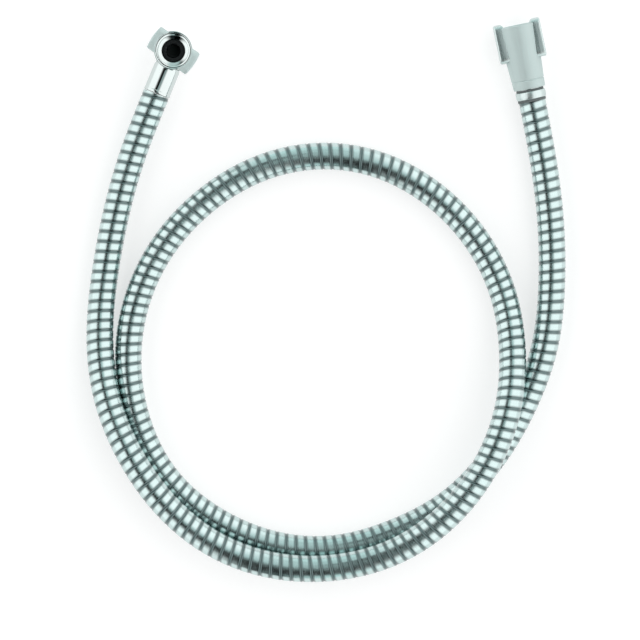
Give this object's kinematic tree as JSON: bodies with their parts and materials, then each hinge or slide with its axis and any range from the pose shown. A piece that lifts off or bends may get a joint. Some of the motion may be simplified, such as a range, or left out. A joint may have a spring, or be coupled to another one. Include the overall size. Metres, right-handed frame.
{
  "type": "shower hose",
  "caption": "Silvered PVC shower hose in a loose loop, with a winged union nut on an elbow at the near end and a long winged cone nut at the far end.",
  "frame": {"origin": "middle of the box that the coiled hose fills, on the surface it lies on", "axes": "+X to the right and +Y up in the view from above, +Z up from the surface"},
  "size_m": [0.2971, 0.3499, 0.0379],
  "materials": {
    "silvered_pvc": "clear gloss over a silver spiral",
    "chrome": "polished",
    "satin_chrome": "satin",
    "black_rubber": "matt"
  },
  "bodies": {
    "hose": {"hose": "silvered_pvc", "elbow_sleeve": "chrome", "elbow_body": "chrome", "elbow_nipple": "chrome", "elbow_washer": "black_rubber", "cone_collar": "chrome", "cone_nipple": "chrome", "cone_washer": "black_rubber"},
    "elbow_nut": {"elbow_nut": "satin_chrome"},
    "cone_nut": {"cone_nut": "satin_chrome"}
  },
  "joints": [
    {"name": "elbow_nut_turn", "type": "hinge", "parent": "hose", "child": "elbow_nut", "pos_m": [-0.0942, 0.154, 0.0191], "axis": [0, 0, 1], "continuous": true},
    {"name": "cone_nut_turn", "type": "hinge", "parent": "hose", "child": "cone_nut", "pos_m": [0.1263, 0.1311, 0.00992], "axis": [-0.2041, 0.9772, 0.0586], "continuous": true}
  ]
}
